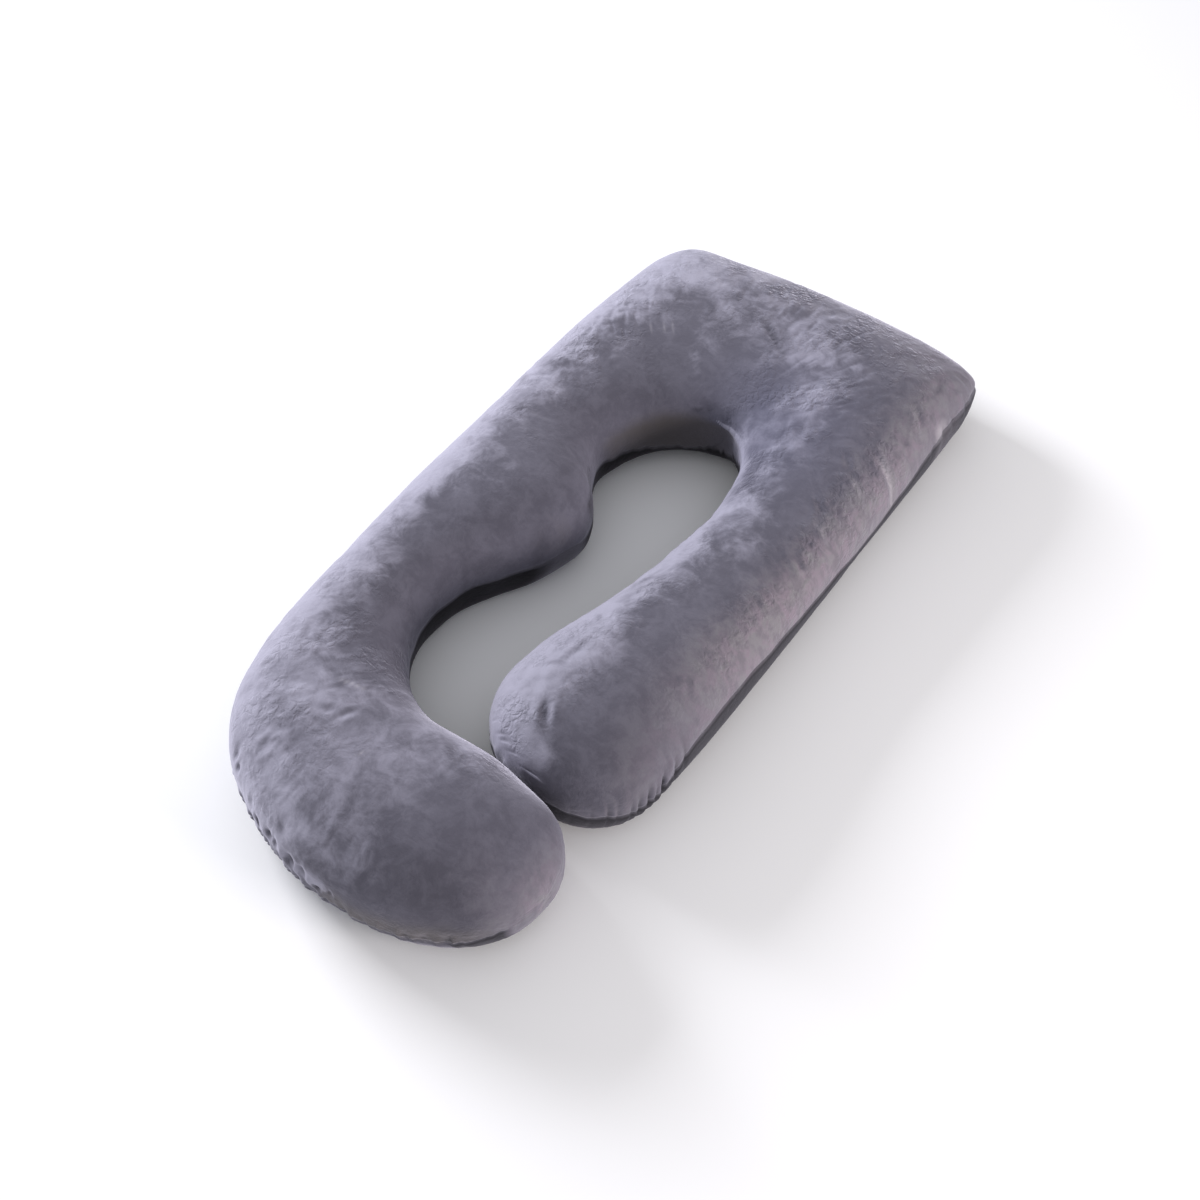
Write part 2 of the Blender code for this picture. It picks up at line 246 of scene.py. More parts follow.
# where the cover lies smoother: x, y, reach x, reach y,
# how evenly the painted light and mottle lie there, how little the cover wrinkles, how little it is crushed
calm = [
    (-0.1, -0.58, 0.22, 0.14, 1.0, 0.0, 0.0),
    (0.15, -0.37, 0.07, 0.1, 1.0, 0.0, 0.0),
    (0.12, 0.36, 0.06, 0.12, 1.0, 0.8, 0.0),
    (0.14, 0.2, 0.04, 0.1, 0.0, 0.6, 0.0),
    (-0.22, -0.51, 0.065, 0.12, 0.4, 0.5, 0.65),
    (0.16, -0.61, 0.09, 0.08, 0.9, 0.4, 0.0),
    (0.2, -0.24, 0.045, 0.08, 1.0, 0.5, 0.5),
    (0.02, 0.55, 0.05, 0.05, 0.6, 0.4, 0.6),
    (-0.22, 0.25, 0.05, 0.08, 0.6, 0.4, 0.4),
    (-0.18, 0.52, 0.05, 0.05, 0.3, 0.9, 0.3),
]


def spot(x, y, middleX, middleY, reachX, reachY):
    # 1 in the middle, fading out all round
    return np.exp(-(((x - middleX) / reachX) ** 2) - ((y - middleY) / reachY) ** 2)


def ramp(values, start, reach):
    # 0 at the start, 1 past the reach
    return np.clip((values - start) / reach, 0, 1)


def calmness(x, y, column):
    return np.clip(sum(row[column] * spot(x, y, *row[:4]) for row in calm), 0, 1)


def creasedPatch(x, y):
    patch = np.zeros(x.shape)
    for row in ruffles:
        patch = np.maximum(patch, spot(x, y, *row[:4]))
    return patch * (1 - calmness(x, y, 6))


# cloth simulation that settles the cover on its filling
settling = {
    "pressure": 4.0,
    "frames": 20,
    "seamShrink": 0.1,  # the stitching takes up this share of the cloth
    "seamReach": 0.022,  # how far from the seam it is taken up
    "most": 0.004,  # no point moves further than this
    "share": 0.15,  # how much of the wrinkling is kept, and how much more inside the creased patches
    "creasedShare": 0.2,
    "stiffness": 4.0,  # stiffer cloth makes broader wrinkles
    "stretch": 30,  # how hard it is to stretch, and to pull askew
    "askew": 10,
    "mass": 0.3,
    "quality": 6,
    "sole": 0.002,  # points lower than this stay on the floor
    "evening": 60,  # rounds of averaging that find the overall swelling, which is taken out
    "closer": 0.0055,  # sections closer than this have their wrinkles blended, in so many rounds
    "blending": 14,
    "seed": 11,
    "unevenness": 0.0012,  # filling lumps that start the wrinkles
    "lumpsFrom": 0.004,  # no lumps lower than this
}


def gridFaces(sections, ring, first, last):
    faces = []
    for i in range(sections - 1):
        for k in range(ring):
            a, b = i * ring + k, i * ring + (k + 1) % ring
            faces.append((a, b, b + ring, a + ring))
    base = (sections - 1) * ring
    for k in range(ring):
        faces.append((k, first, (k + 1) % ring))
        faces.append((base + k, base + (k + 1) % ring, last))
    return faces


def finer(values):
    # one more value between each two along the pillow, and round it
    def between(a, b, c, d):
        return (9 * (b + c) - (a + d)) / 16

    padded = np.concatenate([values[:1], values, values[-1:]])
    rowsMade = np.zeros((2 * len(values) - 1,) + values.shape[1:])
    rowsMade[::2] = values
    rowsMade[1::2] = between(padded[:-3], padded[1:-2], padded[2:-1], padded[3:])
    made = np.zeros((rowsMade.shape[0], 2 * rowsMade.shape[1]) + rowsMade.shape[2:])
    made[:, ::2] = rowsMade
    made[:, 1::2] = between(
        np.roll(rowsMade, 1, axis=1), rowsMade, np.roll(rowsMade, -1, axis=1), np.roll(rowsMade, -2, axis=1)
    )
    return made


def averaged(values, rounds):
    # neighbouring values blended along the pillow and round it
    for _ in range(rounds):
        padded = np.concatenate([values[:1], values, values[-1:]])
        values = (padded[:-2] + 2 * values + padded[2:]) / 4
        values = (np.roll(values, 1, axis=1) + 2 * values + np.roll(values, -1, axis=1)) / 4
    return values


def blendedWhereCrowded(values, points, closer, rounds):
    # sections crowd together inside a bend; wrinkles there are blended along the seam
    apart = np.linalg.norm(np.gradient(points, axis=0), axis=2)
    crowded = np.clip((closer - apart) / (0.55 * closer), 0, 1)
    if values.ndim == 3:
        crowded = crowded[:, :, None]
    for _ in range(rounds):
        padded = np.concatenate([values[:1], values, values[-1:]])
        values = values + 0.5 * crowded * ((padded[:-2] + padded[2:]) / 2 - values)
    return values


def settleCover(grid, ends, toSeam):
    coarse = grid[::2, ::2]
    sections, ring = coarse.shape[:2]
    points = np.vstack([coarse.reshape(-1, 3), ends])
    rng = np.random.default_rng(settling["seed"])
    mesh = bpy.data.meshes.new("settling")
    lumps = rng.normal(0, settling["unevenness"], (len(points), 3))
    lumps[points[:, 2] < settling["lumpsFrom"]] = 0
    faces = gridFaces(sections, ring, len(points) - 2, len(points) - 1)
    mesh.from_pydata((points + lumps).tolist(), [], faces)
    cover = bpy.data.objects.new("settling", mesh)
    scene.collection.objects.link(cover)
    onFloor = cover.vertex_groups.new(name="onFloor")
    onFloor.add([i for i in range(len(points)) if points[i, 2] < settling["sole"]], 1.0, "REPLACE")
    stitched = cover.vertex_groups.new(name="stitched")
    near = np.clip(1 - toSeam[::2, ::2].ravel() / settling["seamReach"], 0, 1)
    for i in np.nonzero(near)[0]:
        stitched.add([int(i)], float(near[i]), "REPLACE")
    cloth = cover.modifiers.new("cloth", "CLOTH")
    settings = cloth.settings
    settings.quality = settling["quality"]
    settings.mass = settling["mass"]
    settings.tension_stiffness = settling["stretch"]
    settings.compression_stiffness = settling["stretch"]
    settings.shear_stiffness = settling["askew"]
    settings.bending_stiffness = settling["stiffness"]
    settings.use_pressure = True
    settings.uniform_pressure_force = settling["pressure"]
    settings.effector_weights.gravity = 0
    settings.vertex_group_mass = "onFloor"
    settings.vertex_group_shrink = "stitched"
    settings.shrink_max = settling["seamShrink"]
    cloth.collision_settings.use_collision = False
    cloth.point_cache.frame_start = 1
    cloth.point_cache.frame_end = settling["frames"]
    for frameNumber in range(1, settling["frames"] + 1):
        scene.frame_set(frameNumber)
    settled = cover.evaluated_get(bpy.context.evaluated_depsgraph_get())
    moved = np.zeros(len(points) * 3)
    settled.data.vertices.foreach_get("co", moved)
    shift = moved.reshape(-1, 3) - points
    bpy.data.objects.remove(cover)
    scene.frame_set(1)
    shift = shift[:-2].reshape(sections, ring, 3)
    shift = shift - averaged(shift, settling["evening"])
    shift = blendedWhereCrowded(shift, coarse, settling["closer"], settling["blending"])
    length = np.linalg.norm(shift, axis=2, keepdims=True)
    most = settling["most"]
    shift *= most * np.tanh(length / most) / np.maximum(length, 1e-9)
    share = settling["share"] + settling["creasedShare"] * creasedPatch(coarse[:, :, 0], coarse[:, :, 1])
    share *= 1 - calmness(coarse[:, :, 0], coarse[:, :, 1], 5)
    return finer(shift * share[:, :, None])


toSeam = np.minimum(toInner, toOuter)
shift = settleCover(grid, ends, toSeam)
print("cover settled, mean move %.1f mm, most %.1f mm" % (
    1000 * np.linalg.norm(shift, axis=2).mean(), 1000 * np.linalg.norm(shift, axis=2).max()))
grid = grid + shift
ends = ends + shift[[0, -1]].mean(axis=1)

# the stitching draws the cover in along the seam
stitching = {
    "pull": 0.0035,
    "innerPull": 0.001,
    "reach": 0.007,
    # the seam closes up smoothly round the hook's end: how far along it, and how much
    "plainOuter": ([0.06, 0.08], [1, 0]),
    "plainInner": ([0.12, 0.2], [1, 0]),
    "darkFold": 0.009,  # folds drawn in this far get their full painted shade, and how fast that comes
    "darkEase": 1.4,
}

# rows of gathers that run up from the seam, at random spots from start to stop or at the given ones;
# up to hold they keep their full depth, and dark is how much painted shade their furrows get
gathers = [
    {"arm": "hooked", "side": "outer", "start": 0.33, "stop": 0.58, "pitch": 0.018, "depth": 0.0055,
     "width": 0.005, "hold": 0.004, "reach": 0.05, "seed": 2},
    {"arm": "hooked", "side": "outer", "start": 0.585, "stop": 0.82, "pitch": 0.024, "depth": 0.006,
     "width": 0.0055, "hold": 0.006, "reach": 0.05, "seed": 3},
    {"arm": "hooked", "side": "outer", "start": 0.02, "stop": 0.33, "pitch": 0.019, "depth": 0.0032,
     "width": 0.0045, "hold": 0.004, "reach": 0.045, "seed": 4},
    {"arm": "hooked", "side": "inner", "start": 0.02, "stop": 0.33, "pitch": 0.02, "depth": 0.0025,
     "width": 0.005, "hold": 0, "reach": 0.026, "seed": 5},
    {"arm": "straight", "side": "outer",
     "at": [0.072, 0.104, 0.131, 0.146, 0.17, 0.184, 0.203, 0.219, 0.237, 0.268, 0.292],
     "depth": [0.0015, 0.002, 0.0035, 0.002, 0.003, 0.005, 0.006, 0.003, 0.008, 0.004, 0.003],
     "width": 0.0036, "hold": 0.012, "reach": 0.06, "ridge": 0.1, "dark": 90},
    {"arm": "straight", "side": "outer", "at": [1.09, 1.128, 1.164, 1.215],
     "depth": [0.002, 0.004, 0.003, 0.004], "width": 0.006, "hold": 0.004, "reach": 0.04},
    {"arm": "straight", "side": "inner", "start": 0.01, "stop": 0.15, "pitch": 0.0165, "depth": 0.005,
     "width": 0.0042, "hold": 0.005, "reach": 0.05, "seed": 7},
]

# single puckers above the seam: how far along, how far up, half width, half height, depth
puckers = {
    ("hooked", "outer"): [
        (0.352, 0.04, 0.005, 0.007, 0.0035),
        (0.36, 0.044, 0.004, 0.006, -0.0025),
        (0.378, 0.028, 0.0065, 0.008, 0.006),
        (0.394, 0.036, 0.0055, 0.011, -0.0032),
        (0.409, 0.048, 0.008, 0.012, 0.007),
        (0.422, 0.036, 0.005, 0.01, -0.003),
        (0.436, 0.048, 0.0105, 0.014, 0.0095),
        (0.454, 0.042, 0.006, 0.013, -0.004),
        (0.472, 0.05, 0.0055, 0.009, 0.0055),
        (0.46, 0.094, 0.01, 0.011, 0.0032),
        (0.489, 0.054, 0.007, 0.01, 0.0075),
        (0.502, 0.044, 0.0045, 0.009, -0.0024),
        (0.522, 0.044, 0.0042, 0.01, 0.006),
        (0.532, 0.048, 0.004, 0.008, -0.002),
        (0.545, 0.068, 0.0045, 0.008, 0.0025),
        (0.604, 0.07, 0.004, 0.008, 0.005),
        (0.621, 0.082, 0.004, 0.009, 0.0035),
        (0.157, 0.014, 0.0022, 0.015, 0.005),
        (0.149, 0.014, 0.003, 0.01, -0.002),
        (0.196, 0.01, 0.003, 0.01, 0.004),
        (0.225, 0.012, 0.003, 0.01, 0.003),
    ],
    ("straight", "outer"): [
        (0.236, 0.015, 0.0055, 0.012, 0.011),
        (0.256, 0.046, 0.005, 0.02, -0.003),
        (0.212, 0.03, 0.003, 0.016, -0.002),
    ],
    ("straight", "inner"): [
        (0.034, 0.07, 0.003, 0.014, 0.0025),
        (0.047, 0.074, 0.003, 0.012, 0.002),
        (0.055, 0.08, 0.0025, 0.014, -0.0025),
        (0.062, 0.078, 0.003, 0.016, 0.0035),
        (0.084, 0.074, 0.003, 0.016, 0.002),
        (0.101, 0.066, 0.003, 0.012, 0.0025),
        (0.112, 0.064, 0.003, 0.014, 0.002),
        (0.135, 0.058, 0.003, 0.012, 0.002),
    ],
}

# where the lower panel draws in at the bump and beside it:
# how far along the hooked arm's inner seam, how far below it, reach, half height, depth
undercuts = [(0.92, 0.05, 0.045, 0.035, 0.008), (0.79, 0.04, 0.07, 0.04, 0.008)]


def towardsMiddle(grid, rows):
    middle = (rows[:, 0:2] + rows[:, 2:4]) / 2
    centre = np.column_stack([middle, np.full(len(rows), pillow["waist"])])[:, None, :]
    inward = centre - grid
    return inward / np.linalg.norm(inward, axis=2, keepdims=True)


gatherShape = {
    "fade": 1.3,
    "atSeam": 0.4,  # share of the depth that is left at the seam itself, and where it is full
    "fullFrom": 0.008,
    "opening": 0.8,  # a gather opens out away from the seam
    "ridge": 0.45,  # the low ridge on either side
    # how the random ones differ, as shares
    "depth": (0.35, 1.2),
    "width": (0.8, 1.4),
    "reach": (0.5, 1.2),
    "pitch": (0.6, 1.4),
}


def gatherDepth(zone, along, toInner, toOuter):
    shape = gatherShape
    far = toInner if zone["side"] == "inner" else toOuter
    place = along[zone["arm"], zone["side"]][:, None]
    if "at" in zone:
        spots = [(*given, zone["width"], zone["reach"]) for given in zip(zone["at"], zone["depth"])]
    else:
        rng = np.random.default_rng(zone["seed"])
        spots, middle = [], zone["start"]
        while middle < zone["stop"]:
            drawn = [zone[size] * rng.uniform(*shape[size]) for size in ("depth", "width", "reach")]
            spots.append((middle, *drawn))
            middle += zone["pitch"] * rng.uniform(*shape["pitch"])
    depth = np.zeros(far.shape)
    start = shape["atSeam"] + (1 - shape["atSeam"]) * ramp(far, 0, shape["fullFrom"])
    ridge = zone.get("ridge", shape["ridge"])
    for middle, deep, width, reach in spots:
        fade = np.clip((reach - far) / (reach - zone["hold"]), 0, 1) ** shape["fade"] * start
        away = np.abs(place - middle) / (width * (1 + shape["opening"] * far / reach))
        depth += deep * fade * (np.exp(-(away**2)) - ridge * np.exp(-((away - 2.0) ** 2)))
    return depth


inward = towardsMiddle(grid, rows)
inward[:, :, 2] *= grid[:, :, 2] > 0.001  # the sole stays flat
hookOuter = along["hooked", "outer"][:, None]
hookInner = along["hooked", "inner"][:, None]
straightOuter = along["straight", "outer"][:, None]
onOuter = toOuter < toInner
plainOuter = np.interp(hookOuter, *stitching["plainOuter"])
plainInner = np.interp(hookInner, *stitching["plainInner"])
plainSeam = np.where(onOuter, plainOuter, plainInner)
pull = np.where(onOuter, stitching["pull"], stitching["innerPull"]) * (1 - plainSeam)
pull = pull * np.clip(1 - toSeam / stitching["reach"], 0, 1) ** 2
raised, furrowShade = np.zeros(pull.shape), np.zeros(pull.shape)
for zone in gathers:
    drawn = gatherDepth(zone, along, toInner, toOuter)
    pull = pull + drawn
    furrowShade += zone.get("dark", 0) * np.clip(drawn, 0, None)
for distance, down, reach, halfHeight, depth in undercuts:
    pull = pull + depth * ~isTop * spot(hookInner, toInner, distance, down, reach, halfHeight)
for (arm, side), placed in puckers.items():
    above = toInner if side == "inner" else toOuter
    for distance, up, halfWidth, halfHeight, depth in placed:
        near = isTop * spot(along[arm, side][:, None], above, distance, up, halfWidth, halfHeight)
        pull = pull + depth * near
        if depth < 0:
            raised += near
grid = grid + inward * pull[:, :, None]
# painted shade in the folds that the stitching and gathers draw in
foldShade = ramp(pull, 0, stitching["darkFold"]) ** stitching["darkEase"]
print("seam and gathers drawn in")

# single creases: x, y, direction in degrees, length, half width, depth
creases = [
    (0.155, -0.362, 128, 0.06, 0.007, 0.005),  # dent on the straight arm's bulb
    (0.128, -0.24, 80, 0.11, 0.005, 0.0016),
    (0.007, 0.529, -36, 0.14, 0.0045, 0.0036),  # head
    (-0.018, 0.352, 5, 0.055, 0.005, 0.003),  # over the neck
    (0.322, 0.4, 165, 0.09, 0.006, 0.004),  # pulled up from the outer seam
    (0.272, 0.252, 140, 0.055, 0.005, 0.003),
    (0.264, 0.358, 135, 0.055, 0.005, 0.0026),
    (0.32, 0.47, 160, 0.06, 0.005, 0.0024),
    (0.31, 0.535, 150, 0.06, 0.006, 0.0028),
    (0.32, 0.3, 155, 0.06, 0.005, 0.0022),
    (0.315, 0.13, 165, 0.055, 0.005, 0.002),
    (0.3, 0.02, 150, 0.05, 0.005, 0.0018),
    (0.312, -0.11, 160, 0.055, 0.005, 0.0018),
    (0.3, -0.19, 120, 0.05, 0.005, 0.0016),
    (-0.12, -0.56, 20, 0.06, 0.006, 0.0018),  # hook
    (-0.085, -0.545, 60, 0.045, 0.005, 0.0016),
    (0.322, 0.655, 55, 0.06, 0.006, 0.0034),  # pinched corner of the head
    (0.318, 0.69, 15, 0.05, 0.005, 0.0028),
    (0.3, 0.62, 95, 0.05, 0.006, 0.0024),
]

# the thin fold on the neck's wall
neckFold = {"x": [0.000, 0.022, 0.055, 0.085, 0.1], "height": [0.131, 0.122, 0.119, 0.121, 0.114],
            "halfWidth": [0.002, 0.0042, 0.006, 0.0048, 0.003], "lift": 0.002, "ease": 0.01}

# sharp little ridges where many random waves cross
crumple = {
    "waves": 28,
    "shortest": 0.024,
    "longest": 0.045,
    "depth": 0.0016,
    "bend": 0.006,  # how far the waves are bent, and how often
    "bendWave": 95,
    "bendPhase": [0.3, 1.7, 4.1],
    "sharpness": 1.6,
    "level": 0.4,  # what is taken off, so that the cover sinks between the ridges
    "gain": 1.3,  # how soon a patch is crumpled in full, and from where on
    "from": 0.15,
    "closer": 0.0026,  # sections closer than this are blended, in so many rounds
    "blending": 16,
    "seed": 41,
}


def crumpledHeight(points):
    rng = np.random.default_rng(crumple["seed"])
    total = np.zeros(points.shape[:2])
    bend = np.sin(points[:, :, ::-1] * crumple["bendWave"] + crumple["bendPhase"]) * crumple["bend"]
    for _ in range(crumple["waves"]):
        direction = rng.normal(0, 1, 3)
        direction /= np.linalg.norm(direction)
        wave = 2 * math.pi / rng.uniform(crumple["shortest"], crumple["longest"])
        total += np.sin((points + bend) @ direction * wave + rng.uniform(0, 2 * math.pi))
    total /= math.sqrt(crumple["waves"] / 2)
    return np.exp(-np.abs(total) * crumple["sharpness"]) - crumple["level"]


def surfaceNormals(grid):
    alongWay = np.gradient(grid, axis=0)
    around = np.roll(grid, -1, axis=1) - np.roll(grid, 1, axis=1)
    normal = np.cross(around, alongWay)
    normal /= np.maximum(np.linalg.norm(normal, axis=2, keepdims=True), 1e-12)
    return normal


def lineThrough(x, y, line):
    # distances along and across a line, which is given by its middle and direction
    cx, cy, direction = line
    c, s = math.cos(math.radians(direction)), math.sin(math.radians(direction))
    return (x - cx) * c + (y - cy) * s, -(x - cx) * s + (y - cy) * c


def creaseDepth(x, y, crease):
    # a groove with a low ridge on either side
    length, width, depth = crease[3:]
    a, b = lineThrough(x, y, crease[:3])
    fade = np.clip(1 - (2 * a / length) ** 2, 0, 1) ** 2
    ridge = 0.45 * np.exp(-(((np.abs(b) - 2 * width) / width) ** 2))
    return depth * fade * (np.exp(-((b / width) ** 2)) - ridge)


normals = surfaceNormals(grid)
x, y, z = grid[:, :, 0], grid[:, :, 1], grid[:, :, 2]
sunk = np.zeros(x.shape)
patch = creasedPatch(x, y)
for crease in creases:
    sunk += creaseDepth(x, y, crease)
for middleX, middleY, reachX, reachY, direction, vary, count, length, width, depth, seed in ruffles:
    rng = np.random.default_rng(seed)
    for _ in range(count):
        sunk += creaseDepth(x, y, (
            middleX + rng.normal(0, reachX * ruffleVary["stray"]),
            middleY + rng.normal(0, reachY * ruffleVary["stray"]),
            direction + rng.normal(0, vary),
            length * rng.uniform(*ruffleVary["length"]),
            width * rng.uniform(*ruffleVary["width"]),
            depth * rng.uniform(*ruffleVary["depth"])))
crumpledHere = np.clip(patch * crumple["gain"] - crumple["from"], 0, 1)
sunk += crumple["depth"] * crumpledHeight(grid) * crumpledHere
sunk = blendedWhereCrowded(sunk, grid, crumple["closer"], crumple["blending"])
# the neck folds over along a thin edge, low on its wall
foldHeight = np.interp(x, neckFold["x"], neckFold["height"])
foldWide = np.interp(x, neckFold["x"], neckFold["halfWidth"])
onFold = np.exp(-(((z - foldHeight) / foldWide) ** 2)) * (toInner < toOuter) * (y > 0.25) * isTop
onFold *= ramp(x, neckFold["x"][0], neckFold["ease"]) * ramp(x, neckFold["x"][-1], -neckFold["ease"])
sunk -= neckFold["lift"] * onFold
upper = isTop & (grid[:, :, 2] > pillow["waist"])
grid = grid - normals * (sunk * upper)[:, :, None]
print("creases laid in")


def pressTogether(grid):
    # the straight arm's end and the hook flatten where they lie against each other
    touch = pillow["touch"]
    towardsHook = np.array([touch["slope"], -1.0]) / math.hypot(touch["slope"], 1.0)
    half = len(grid) // 2
    for part, side in ((slice(0, half), -1), (slice(half, None), 1)):
        flat = grid[part, :, :2]
        clear = side * (flat - [touch["x"], touch["y"]]) @ towardsHook
        near = flat[:, :, 1] < touch["below"]
        if side > 0:
            near &= flat[:, :, 0] > touch["hookFrom"]
        over = (clear - touch["gap"] / 2) / touch["softness"]
        pushed = touch["gap"] / 2 + touch["softness"] * np.logaddexp(0, over) - clear
        grid[part, :, :2] += side * (pushed * near)[:, :, None] * towardsHook
    return grid


# the hook's shoulder slumps away from the straight arm's end
slump = {"x": 0.175, "y": -0.455, "reachX": 0.055, "reachY": 0.045, "height": 0.09, "ease": 0.04, "push": 0.012}
onHook = (np.arange(len(grid)) > len(grid) // 2)[:, None]
aside = spot(grid[:, :, 0], grid[:, :, 1], slump["x"], slump["y"], slump["reachX"], slump["reachY"])
aside *= ramp(grid[:, :, 2], slump["height"], slump["ease"]) * onHook
grid[:, :, 1] -= slump["push"] * aside
grid = pressTogether(grid)
grid[:, :, 2] = np.maximum(grid[:, :, 2], 0)
allPoints = np.vstack([grid.reshape(-1, 3), ends])
middleNow = (allPoints.min(axis=0) + allPoints.max(axis=0)) / 2
cadLow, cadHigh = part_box("pillow")
allPoints[:, 0] += (cadLow.x + cadHigh.x) / 2 - middleNow[0]
allPoints[:, 1] += (cadLow.y + cadHigh.y) / 2 - middleNow[1]


def smoothMesh(name, points, faces):
    mesh = bpy.data.meshes.new(name)
    mesh.from_pydata(points.tolist(), [], faces)
    mesh.polygons.foreach_set("use_smooth", [True] * len(mesh.polygons))
    mesh.update()
    piece = bpy.data.objects.new(name, mesh)
    scene.collection.objects.link(piece)
    return piece


coverFaces = gridFaces(len(grid), ringCount, len(allPoints) - 2, len(allPoints) - 1)
cover = smoothMesh("velvetCover", allPoints, coverFaces)


def addNumber(piece, name, values):
    layer = piece.data.attributes.new(name, "FLOAT", "POINT")
    layer.data.foreach_set("value", np.concatenate([values.ravel(), [0, 0]]).astype(np.float32))


# marks that the velvet is coloured by: pairs of lists are places, and what holds there
marks = {
    "seamWidth": 0.0025,
    # how much of the lower panel's painted shade is lifted, along the seams
    "litHook": ([0.15, 0.162, 0.3, 0.75, 0.9], [0, 0.8, 0.65, 0.6, 0]),
    "litCorner": ([1.085, 1.12, 1.17, 1.23], [0, 0.28, 0.22, 0]),
    "litBump": ([0.85, 0.9, 0.95, 0.98], [0, 0.7, 0.7, 0]),
    # past the neck the side rounds under with no more than a thin edge of painted shade, at this height by x
    "neckEdge": ([0.0, 0.03, 0.063, 0.096], [0.046, 0.056, 0.07, 0.103]),
    # painted shade on sides round the gap that turn from the light: how much by y, and up to what height by x,
    # how softly
    "gapTurn": ([0.0, 0.15], [0.2, 1]),
    "gapTop": ([-0.03, 0.02], [0.155, 0.121]),
    "gapSoft": ([-0.03, 0.02], [0.04, 0.006]),
    "gapAlong": 0.35,
    "gapAcross": 0.9,
    "hookEdge": ([0.08, 0.16, 0.33, 0.42], [0.3, 1, 1, 0]),  # painted shade along the brownish edge under the hook
    "hookEdgeReach": 0.055,
    # how much of the warm lamp's light is painted on the outer side, by y
    "outerSide": ([-0.4, -0.3, -0.22, -0.08, 0.1, 0.4, 0.7], [0.35, 0.25, 0.4, 0.75, 0.85, 0.74, 0.4]),
    # a painted highlight along the rim of the hook: how high above the seam, and how much
    "rimUp": ([0.275, 0.325, 0.36, 0.43, 0.5, 0.62], [0.017, 0.036, 0.044, 0.048, 0.07, 0.08]),
    "rim": ([0.34, 0.38, 0.5, 0.62], [0, 1, 1, 0]),
    "rimReach": 0.012,
    # painted highlights on raised puckers and along the neck's fold
    "puckerLight": 0.9,
    "foldLight": 1.6,
    # painted shade along edges: under the hook's tip, under the straight end, on the bump
    "underTip": ([0.07, 0.085, 0.15, 0.157], [0, 1, 1, 0]),
    "underEnd": ([0.0, 0.03, 0.25, 0.32], [0, 1, 1, 0]),
    "bumpEdge": ([0.985, 1.0, 1.05, 1.09], [0, 1, 1, 0]),
}


def run(places, name):
    return np.interp(places, *marks[name])


# painted shade in the groove along the seam, left off at the neck and the hook's end
onNeck = ramp(x, 0, 0.015) * ramp(y, 0.22, 0.05) * ~onOuter
addNumber(cover, "seam", np.exp(-((toSeam / marks["seamWidth"]) ** 2)) * (1 - plainSeam) * (1 - onNeck))
addNumber(cover, "patch", patch * upper)
across = toInner / np.maximum(toInner + toOuter, 1e-6)
innerSide = ramp(across, 0.55, -0.3)
litOuter = run(hookOuter, "litHook")
litOuter = np.maximum(litOuter, run(straightOuter, "litCorner"))
litInner = np.maximum(plainSeam, run(hookInner, "litBump"))
lit = np.where(onOuter, np.maximum(litOuter, plainSeam), litInner)
lit = np.maximum(lit, onNeck * ramp(z, run(x, "neckEdge"), 0.004))
addNumber(cover, "lower", np.where(isTop, 0.0, 1 - lit))
addNumber(cover, "inside", innerSide)
addNumber(cover, "foldShade", foldShade)
# painted shade on the sides round the gap that turn from the light, and along the edge under the hook
away = marks["gapAlong"] * normals[:, :, 0] * run(y, "gapTurn")
away -= marks["gapAcross"] * normals[:, :, 1]
lowOnHead = np.clip((run(x, "gapTop") - z) / run(x, "gapSoft"), 0, 1)
away *= np.where(y > 0.18, lowOnHead, 1.0) * ramp(x, 0.1, -0.005)
away *= innerSide * ramp(y, -0.13, 0.12)
edge = run(hookOuter, "hookEdge") * isTop
away = np.maximum(away, 1.2 * edge * np.exp(-((toOuter / marks["hookEdgeReach"]) ** 2)))
addNumber(cover, "gap", away)
# where the outer side and the hook's end are painted with the warm lamp's pinkish light
outer = ramp(across, 0.45, 0.35) * run(y, "outerSide")
outer = np.maximum(outer, 0.7 * np.clip(1 - hookInner / 0.12, 0, 1) * (across < 0.85))
addNumber(cover, "outer", outer)
